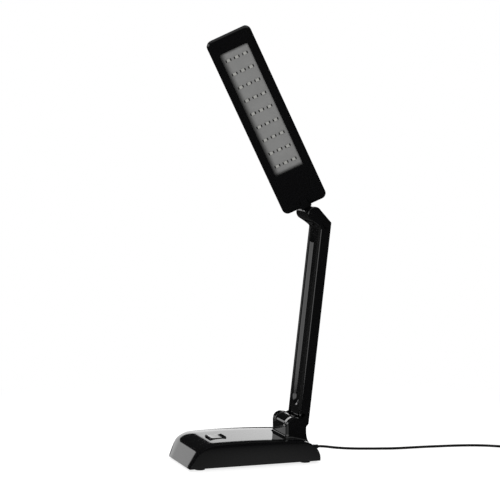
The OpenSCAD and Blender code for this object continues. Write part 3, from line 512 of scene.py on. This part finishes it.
# Between the ears the bar ends in a hollow round the hinge's barrel.
near_ear = np.hypot(main[..., 1] - ELBOW[0], main[..., 2] - ELBOW[1])
upper = main[..., 2] > 200
cut = 8.4
away = np.stack([main[..., 1] - ELBOW[0], main[..., 2] - ELBOW[1]], -1)
angle = np.arctan2(away[..., 1], away[..., 0])
safe = np.clip(angle, math.radians(-75), math.radians(12))
safe = np.where((angle > math.radians(140)) | (angle < math.radians(-75)), math.radians(-75), safe)
inside = upper & (near_ear < cut)
main[..., 1] = np.where(inside, ELBOW[0] + cut * np.cos(safe), main[..., 1])
main[..., 2] = np.where(inside, ELBOW[1] + cut * np.sin(safe), main[..., 2])
bevel = np.radians([0, 22, 45, 68, 90])
ear_x = np.concatenate([[EAR_GAP, 15.62, 15.64], ARM_HALF - ARM_EDGE + ARM_EDGE * np.sin(bevel)])
ear_in = np.concatenate([[0, 0, 0], ARM_EDGE - ARM_EDGE * np.cos(bevel)])
side = slab(ear_x, ear_in, loop)
cover_seat(main)
cover_seat(side)


def lid(row, flip):
    """Closes the flat side of the bar with rows that run to the middle of its thickness."""
    y, z = row[:, 1], row[:, 2]
    middle_y = 9.5
    near_elbow = np.clip(ELBOW[0] + (middle_y - ELBOW[0]) * (ELBOW[1] - z) / 13.6, ELBOW[0], middle_y)
    mid_y = np.where(z > 200, near_elbow, np.where(z < 12, 0, middle_y))
    mid_z = np.clip(z, 0, ELBOW[1])
    end = np.column_stack([row[:, 0], mid_y, mid_z])
    rows = [row, row * 0.5 + end * 0.5, end]
    return np.stack(rows[::-1] if flip else rows, 0)


right = [side[::-1], lid(side[-1], True), lid(side[0], False)]
skin("arm_skin", [main[::-1]] + mirrored(right), arm_turn, arm_at, "arm", "arm_shell", gloss, crisp=35)

# Pin caps: two small round press-in covers, slightly domed, over the ends of the upper hinge's pin.
def spin(profile, centre, along, steps=36):
    """Turns a list of (radius, place) round a line through the centre: along 0 is x, along 1 is y."""
    t = np.radians(np.linspace(0, 360, steps + 1))
    r, place = np.array(profile)[:, :1], np.array(profile)[:, 1:] + 0 * t
    sides = (r * np.cos(t), r * np.sin(t))
    parts = (place, *sides) if along == 0 else (sides[0], place, sides[1])
    return np.stack(parts, -1) + np.array(centre)


cap = spin([(0, 18.5), (1.6, 18.47), (3.0, 18.38), (3.8, 18.24), (4.25, 18.05), (4.4, 17.8), (4.4, 17.2)],
           (0, ELBOW[0], ELBOW[1]), 0)
skin("cap_skin", mirrored([cap]), arm_turn, arm_at, "arm", "pin_caps", gloss)

# Strain relief: a soft tapered sleeve moulded round the cord at the rear of the base, cut by five
# shallow grooves.
sleeve = [(3.0, 62.6), (3.0, 66.0)]
for y in np.arange(66.4, 77.6, 0.2):
    cut_in = 0.34 * max(0.0, math.sin(math.pi * (y - 66.4) / 1.12)) ** 0.6
    sleeve.append((2.98 - 0.075 * (y - 66) - cut_in, y))
sleeve += [(2.06, 77.9), (2.0, 78.6), (1.85, 78.95), (1.4, 79.0), (1.3, 78.4)]
skin("relief_skin", [spin(sleeve, (0, 0, 9), 1)], np.eye(3), np.zeros(3),
     "base", "strain_relief", jacket, crisp=50)

# Cord tie: a soft band, 6 mm wide, wrapped round the coil on the side away from where the lead comes in.
tie_way = -np.array([COIL_WAY[1], -COIL_WAY[0], 0])
tie_turn = np.column_stack([tie_way, np.cross([0, 0, 1], tie_way), [0, 0, 1]])
outer_r = COIL_R + TURN_STEP * TURNS / LAYERS / 2
tie_at = COIL_START + outer_r * tie_way + COIL_R * tie_way + [0, 0, 6.11]


def band(half_x, half_z, r, wide):
    """Rings with round corners repeated over the band's width."""
    ring = rounded(half_x, half_z, r)
    return np.stack([np.column_stack([ring[:, 0], np.full(len(ring), y), ring[:, 1]]) for y in wide], 0)


tie_width = np.linspace(-3, 3, 7)
tie_out, tie_in = band(4.75, 6.09, 1.6, tie_width), band(4.5, 5.84, 1.35, tie_width)
tie_rims = [np.stack([tie_in[0], tie_out[0]], 0), np.stack([tie_out[-1], tie_in[-1]], 0)]
skin("cord_tie", [tie_out, tie_in[:, ::-1]] + tie_rims, tie_turn, tie_at, "base", None, dull, crisp=50)

# Head: two flat moulded shells, the lit one with a window over the board of small lights, the back one
# rounder. They meet in a fine seam round the edge.
HEAD_AT = arm_at + arm_turn @ np.array([0, ELBOW[0], ELBOW[1]])
HEAD_TURN = turn_x(26.1) @ turn_z(72.4)
HEAD_X, HEAD_LOW, HEAD_HIGH, HEAD_HALF = 0.45, 8.5, 198.0, 23.5
WINDOW_X, WINDOW_LOW, WINDOW_HIGH = 15.0, 49.0, 182.0
LIT_ROUND, BACK_ROUND, HEAD_FACE = 3.6, 4.6, 6


def puck_ring(half_x, low, high, r, y, middle=0.0):
    """A rectangle with round corners in the head's own plane, at a depth y: seven points to each
    corner, eight steps along each short side and forty along each long one."""
    cz, half_z = (low + high) / 2, (high - low) / 2
    corners = rounded(half_x, half_z, max(r, 0.05))[:-1].reshape(4, 7, 2)
    ring = []
    for k, steps in enumerate((8, 40, 8, 40)):
        nxt = corners[(k + 1) % 4][0]
        ring.extend(corners[k])
        ring.extend(corners[k][-1] + (nxt - corners[k][-1]) * m / steps for m in range(1, steps))
    ring = np.array(ring + ring[:1])
    return np.column_stack([ring[:, 0] + middle, np.full(len(ring), y), ring[:, 1] + cz])


def shell_ring(inset, y):
    """The head's outline drawn in by an inset, at a depth y."""
    return puck_ring(HEAD_HALF - inset, HEAD_LOW + inset, HEAD_HIGH - inset, 5.8 - inset, y, HEAD_X)


def window_ring(grow, y):
    """The window's outline made larger all round, at a depth y."""
    return puck_ring(WINDOW_X + grow, WINDOW_LOW - grow, WINDOW_HIGH + grow, 1.5 + grow, y)


quarter = np.radians(np.linspace(0, 90, 9))
lit = [shell_ring(0.8, -1.05), shell_ring(0.2, -1.05), shell_ring(0, -1.2)]
lit += [shell_ring(LIT_ROUND - LIT_ROUND * math.cos(t), -2.4 - LIT_ROUND * math.sin(t)) for t in quarter]
window_lip = ((0.7, -HEAD_FACE), (0.35, -5.93), (0.1, -5.7), (0, -5.3), (0, -4.1))
lit += [window_ring(grow, y) for grow, y in window_lip]
skin("bezel_skin", [np.stack(lit[::-1], 0)], HEAD_TURN, HEAD_AT, "head", "head_bezel", gloss, crisp=45)
back = [shell_ring(0.8, -0.95), shell_ring(0.2, -0.95), shell_ring(0, -0.8)]
back += [shell_ring(BACK_ROUND - BACK_ROUND * math.cos(t), 1.4 + BACK_ROUND * math.sin(t)) for t in quarter]
back += [shell_ring(d, HEAD_FACE) for d in (8, 14, 20, 23.3)]
skin("back_skin", [np.stack(back, 0)], HEAD_TURN, HEAD_AT, "head", "head_back", gloss, crisp=45)

# Lamp board: a white-lacquered circuit board. Its colour is painted grey as painted shade of the recess, and
# painted darker still towards the window's edges, most at the left and lower ones, as painted shade from
# the recess. Each light is a pale chip between two dark solder pads.
bx, bz = np.linspace(-16.5, 16.5, 67), np.linspace(47.5, 183.5, 273)
grid_x, grid_z = np.meshgrid(bx, bz, indexing="ij")
board_sheet = np.stack([grid_x, np.full_like(grid_x, -4.2), grid_z], -1)
board_piece = skin("board_skin", [board_sheet], HEAD_TURN, HEAD_AT, "head", "led_board", gloss)


def ramp(value, start, end):
    """Zero up to the start, one from the end on, smooth between."""
    t = np.clip((value - start) / (end - start), 0, 1)
    return t * t * (3 - 2 * t)


spots = np.array([v.co for v in board_piece.data.vertices])
local = ((spots - BASE_MIDDLE) * 1000 - HEAD_AT) @ HEAD_TURN
# Painted shade: the board's colour falls towards the window's left and lower edges, and a little at the top and
# right.
painted_shade = (0.12 + 0.88 * ramp(local[:, 0], -15.5, -8.5)) * (0.2 + 0.8 * ramp(local[:, 2], 48.5, 53)) \
    * (0.45 + 0.55 * ramp(182.5 - local[:, 2], 0, 3.5)) * (0.55 + 0.45 * ramp(15.2 - local[:, 0], 0, 1.6))
layer = board_piece.data.attributes.new("painted_shade", "FLOAT", "POINT")
layer.data.foreach_set("value", painted_shade.astype(np.float32))
# The board's grey stands for the white lacquer in the recess's shade: painted shade.
board = plastic("lamp_board", (0.26, 0.26, 0.255), 0.45, grain=0.1)
nodes, links = board.node_tree.nodes, board.node_tree.links
painted_shade_node = nodes.new("ShaderNodeAttribute")
painted_shade_node.attribute_name = "painted_shade"
mottle = nodes.new("ShaderNodeTexNoise")
mottle.inputs["Scale"].default_value = 60
place = nodes.new("ShaderNodeTexCoord")
links.new(place.outputs["Object"], mottle.inputs["Vector"])
vary = nodes.new("ShaderNodeMapRange")
vary.inputs["To Min"].default_value = 0.9
vary.inputs["To Max"].default_value = 1.1
links.new(mottle.outputs["Fac"], vary.inputs["Value"])
level = nodes.new("ShaderNodeMath")
level.operation = "MULTIPLY"
links.new(painted_shade_node.outputs["Fac"], level.inputs[0])
links.new(vary.outputs["Result"], level.inputs[1])
paint = nodes.new("ShaderNodeVectorMath")
paint.operation = "SCALE"
paint.inputs[0].default_value = (0.262, 0.262, 0.258)
links.new(level.outputs[0], paint.inputs["Scale"])
links.new(paint.outputs["Vector"], nodes["Principled BSDF"].inputs["Base Color"])
dress(board, "board_skin")
chip = plastic("light_chip", (0.40, 0.40, 0.38), 0.3)
dress(chip, "leds")


def block(x, y, z, half_x, half_y, half_z):
    """Six faces of a small block, each as a patch of its own."""
    c = np.array([x, y, z])
    out = []
    for axis in range(3):
        u, v = [k for k in range(3) if k != axis]
        for sign in (-1, 1):
            g = np.zeros((2, 2, 3))
            size = (half_x, half_y, half_z)
            g[..., axis] = sign * size[axis]
            g[..., u] = np.array([[-1, -1], [1, 1]]) * size[u]
            g[..., v] = np.array([[-1, 1], [-1, 1]]) * size[v]
            turned = (sign > 0) == (axis != 1)
            out.append((g if turned else g[:, ::-1]) + c)
    return out


ROWS, ROW_STEP, ROW_MIDDLE, LIGHT_STEP = 9, 14.5, 115.5, 8.8
pads = []
for row in range(ROWS):
    for place_x in (-LIGHT_STEP, 0, LIGHT_STEP):
        z = ROW_MIDDLE + (row - 4) * ROW_STEP
        for side_way in (-1, 1):
            pads += block(place_x + side_way * 2.35, -4.28, z, 0.6, 0.06, 1.2)
skin("solder_pads", pads, HEAD_TURN, HEAD_AT, "head", None, dull)

# Pieces of the model whose shape is right as it is: black covers and neck, plated steel, the iron
# plate, rubber feet, the switch's board and the wires get their own materials.
dress(gloss, "arm_cover", "neck_knuckle", "head_neck")
steel = plastic("zinc_steel", (0.5, 0.5, 0.51), 0.3, grain=0.05)
steel.node_tree.nodes["Principled BSDF"].inputs["Metallic"].default_value = 1
dress(steel, "plug_shell", "hinge_bracket", "arm_pin", "arm_strip", "arm_washers", "head_pin",
      "neck_washers", "neck_clip", "base_screws", "arm_screws", "head_screws")
iron = plastic("cast_iron", (0.12, 0.12, 0.125), 0.6, grain=0.3)
dress(iron, "ballast")
rubber = plastic("rubber_foot", (0.02, 0.02, 0.02), 0.75, grain=0.25)
dress(rubber, "feet")
lacquer = plastic("board_green", (0.02, 0.12, 0.05), 0.35)
dress(lacquer, "switch_board")
insulation = plastic("wire_red", (0.35, 0.02, 0.02), 0.45)
dress(insulation, "arm_wires")

# Studio: a pale floor that keeps the lamp's shadow. It turns to clean white away from the lamp. Black plastic
# sees
# it with painted light: a glow brightest near the lamp that fades to dark beyond, as in a studio with dark
# cards laid round the lamp.
floor_mesh = bpy.data.meshes.new("floor")
floor_mesh.from_pydata([(-6, -6, 0), (6, -6, 0), (6, 6, 0), (-6, 6, 0)], [], [(0, 1, 2, 3)])
floor = bpy.data.objects.new("floor", floor_mesh)
bpy.context.collection.objects.link(floor)
pale = bpy.data.materials.new("pale_floor")
pale.use_nodes = True
n, l = pale.node_tree.nodes, pale.node_tree.links
n.clear()
out = n.new("ShaderNodeOutputMaterial")
diffuse = n.new("ShaderNodeBsdfDiffuse")
diffuse.inputs["Color"].default_value = (0.8, 0.8, 0.8, 1)
shown = n.new("ShaderNodeBsdfDiffuse")
shown.inputs["Color"].default_value = (0.45, 0.45, 0.45, 1)
glow = n.new("ShaderNodeEmission")
glow.inputs["Strength"].default_value = 0.78
near_lamp = n.new("ShaderNodeAddShader")
white = n.new("ShaderNodeEmission")
white.inputs["Strength"].default_value = 1
spot = n.new("ShaderNodeTexCoord")
reach = n.new("ShaderNodeVectorMath")
reach.operation = "LENGTH"
far = n.new("ShaderNodeMapRange")
far.interpolation_type = "SMOOTHSTEP"
far.inputs["From Min"].default_value = 0.12
far.inputs["From Max"].default_value = 0.5
ground = n.new("ShaderNodeMixShader")
# Painted light: for glossy rays the floor glows, 0.3 near the lamp falling to 0.03 by 14 cm.
painted_glow = n.new("ShaderNodeEmission")
painted_glow_falloff = n.new("ShaderNodeMapRange")
painted_glow_falloff.inputs["From Min"].default_value = 0.05
painted_glow_falloff.inputs["From Max"].default_value = 0.14
painted_glow_falloff.inputs["To Min"].default_value = 0.3
painted_glow_falloff.inputs["To Max"].default_value = 0.03
path = n.new("ShaderNodeLightPath")
seen_by_gloss = n.new("ShaderNodeMixShader")
seen_by_lens = n.new("ShaderNodeMixShader")
l.new(spot.outputs["Object"], reach.inputs[0])
l.new(reach.outputs["Value"], far.inputs["Value"])
l.new(reach.outputs["Value"], painted_glow_falloff.inputs["Value"])
l.new(painted_glow_falloff.outputs["Result"], painted_glow.inputs["Strength"])
l.new(shown.outputs[0], near_lamp.inputs[0])
l.new(glow.outputs[0], near_lamp.inputs[1])
l.new(far.outputs["Result"], ground.inputs["Fac"])
l.new(near_lamp.outputs[0], ground.inputs[1])
l.new(white.outputs[0], ground.inputs[2])
l.new(path.outputs["Is Glossy Ray"], seen_by_gloss.inputs["Fac"])
l.new(diffuse.outputs[0], seen_by_gloss.inputs[1])
l.new(painted_glow.outputs[0], seen_by_gloss.inputs[2])
l.new(path.outputs["Is Camera Ray"], seen_by_lens.inputs["Fac"])
l.new(seen_by_gloss.outputs[0], seen_by_lens.inputs[1])
l.new(ground.outputs[0], seen_by_lens.inputs[2])
l.new(seen_by_lens.outputs[0], out.inputs["Surface"])
floor_mesh.materials.append(pale)

# World: white for the lens. Black plastic mirrors a low white window behind the lamp and a soft one at
# the button end; the rest of the room is dark. All other light comes evenly from all round.
world = bpy.data.worlds.new("studio")
bpy.context.scene.world = world
world.use_nodes = True
n, l = world.node_tree.nodes, world.node_tree.links
n.clear()
way = n.new("ShaderNodeTexCoord")


def calc(operation, a, b):
    """One sum on two values or node outputs."""
    node = n.new("ShaderNodeMath")
    node.operation = operation
    for socket, value in zip(node.inputs, (a, b)):
        if isinstance(value, (int, float)):
            socket.default_value = value
        else:
            l.new(value, socket)
    return node.outputs[0]


def window(towards, spread, soft, low, high, soft_low, soft_high, strength):
    """A bright window in the room: round the given level direction by an angle, between two heights,
    both edges fading over the given widths."""
    level = n.new("ShaderNodeVectorMath")
    level.operation = "DOT_PRODUCT"
    level.inputs[1].default_value = (math.cos(math.radians(towards)), math.sin(math.radians(towards)), 0)
    l.new(way.outputs["Generated"], level.inputs[0])
    parts = n.new("ShaderNodeSeparateXYZ")
    l.new(way.outputs["Generated"], parts.inputs[0])
    result = None
    gone, full = math.cos(math.radians(spread + soft)), math.cos(math.radians(spread))
    up = parts.outputs["Z"]
    sides = ((level.outputs["Value"], gone, full), (up, low - soft_low, low), (up, high + soft_high, high))
    for value, start, end in sides:
        edge = n.new("ShaderNodeMapRange")
        edge.interpolation_type = "SMOOTHSTEP"
        edge.inputs["From Min"].default_value = start
        edge.inputs["From Max"].default_value = end
        l.new(value, edge.inputs["Value"])
        result = edge.outputs["Result"] if result is None else calc("MULTIPLY", result, edge.outputs["Result"])
    return calc("MULTIPLY", result, strength)


out = n.new("ShaderNodeOutputWorld")
air = n.new("ShaderNodeBackground")
air.inputs["Color"].default_value = (1, 1, 1, 1)
path = n.new("ShaderNodeLightPath")
BEHIND_WAY, BEHIND_TOP, BEHIND_LIGHT = 168, 0.226, 1.36
behind = calc("MAXIMUM", window(BEHIND_WAY, 30.3, 1, 0.02, BEHIND_TOP, 0.02, 0.02, BEHIND_LIGHT),
              window(BEHIND_WAY, 34, 2, 0.12, BEHIND_TOP, 0.012, 0.02, BEHIND_LIGHT))
end_window = window(266, 24, 14, -0.05, 0.5, 0.1, 0.3, 1.8)
height = n.new("ShaderNodeSeparateXYZ")
l.new(way.outputs["Generated"], height.inputs[0])
above = n.new("ShaderNodeMapRange")
above.interpolation_type = "SMOOTHSTEP"
above.inputs["From Min"].default_value = 0.6
above.inputs["From Max"].default_value = 0.85
above.inputs["To Max"].default_value = 0.5
l.new(height.outputs["Z"], above.inputs["Value"])
room = calc("ADD", calc("ADD", calc("ADD", behind, end_window), above.outputs["Result"]), 0.02)
gloss_pick = n.new("ShaderNodeMix")
gloss_pick.inputs["A"].default_value = 0.5
l.new(path.outputs["Is Glossy Ray"], gloss_pick.inputs["Factor"])
l.new(room, gloss_pick.inputs["B"])
clear = calc("MAXIMUM", path.outputs["Is Camera Ray"], path.outputs["Is Transmission Ray"])
l.new(calc("MAXIMUM", gloss_pick.outputs["Result"], clear), air.inputs["Strength"])
l.new(air.outputs[0], out.inputs["Surface"])


def panel(name, at, towards, size, power):
    """A soft lamp at a place, turned to face a point. It isn't seen in the black plastic."""
    light = bpy.data.lights.new(name, "AREA")
    light.shape = "RECTANGLE"
    light.size, light.size_y = size
    light.energy = power
    o = bpy.data.objects.new(name, light)
    o.location = at
    o.rotation_euler = (Vector(towards) - Vector(at)).to_track_quat("-Z", "Y").to_euler()
    o.visible_glossy = False
    bpy.context.collection.objects.link(o)
    return o


panel("over_panel", (-0.5, 0.6, 1.9), (0, 0, 0.2), (1.2, 1.2), 14)
panel("front_panel", (1.6, -1.2, 1.1), (0, 0, 0.25), (0.9, 0.9), 14)
